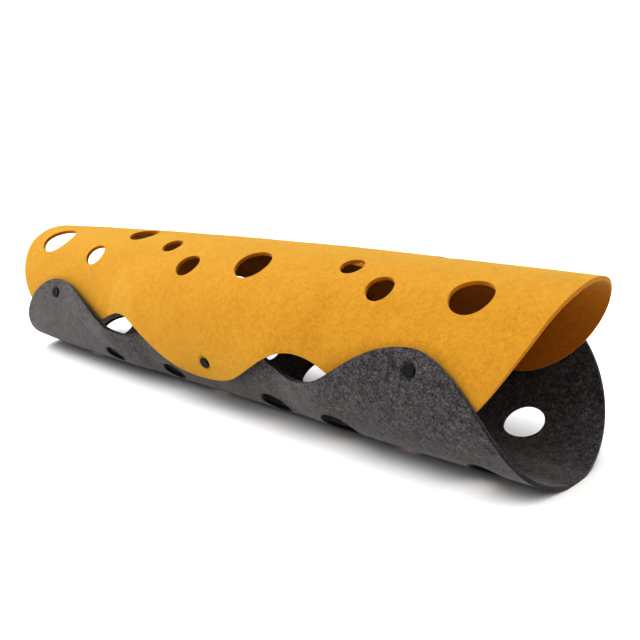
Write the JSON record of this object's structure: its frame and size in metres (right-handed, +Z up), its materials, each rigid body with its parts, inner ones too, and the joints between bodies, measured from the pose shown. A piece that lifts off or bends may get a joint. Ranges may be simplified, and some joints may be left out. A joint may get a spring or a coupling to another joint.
{
  "type": "felt cat tunnel",
  "caption": "Open-ended cat tunnel of wavy-edged felt sheets bent into an oval tube, lapped and snapped together along both sides and punched with round peep holes.",
  "frame": {"origin": "on the floor, on the flat strip that the tube rests on, half way between the end lobes", "axes": "+X along the tube to its wider mouth, +Y to the back, +Z up from the floor"},
  "size_m": [0.965, 0.2653, 0.2296],
  "materials": {
    "felt_yellow": "needle-punched felt, mustard yellow",
    "felt_charcoal": "needle-punched felt, charcoal grey",
    "snap_plastic": "moulded, dark grey"
  },
  "bodies": {
    "root": {"felt_upper": "felt_yellow", "felt_lower": "felt_charcoal", "snap_cap_front_far": "snap_plastic", "snap_cap_front_middle": "snap_plastic", "snap_cap_front_near": "snap_plastic", "snap_cap_back_far": "snap_plastic", "snap_cap_back_middle": "snap_plastic", "snap_cap_back_near": "snap_plastic", "snap_socket_front_far": "snap_plastic", "snap_socket_front_middle": "snap_plastic", "snap_socket_front_near": "snap_plastic", "snap_socket_back_far": "snap_plastic", "snap_socket_back_middle": "snap_plastic", "snap_socket_back_near": "snap_plastic"}
  },
  "joints": []
}
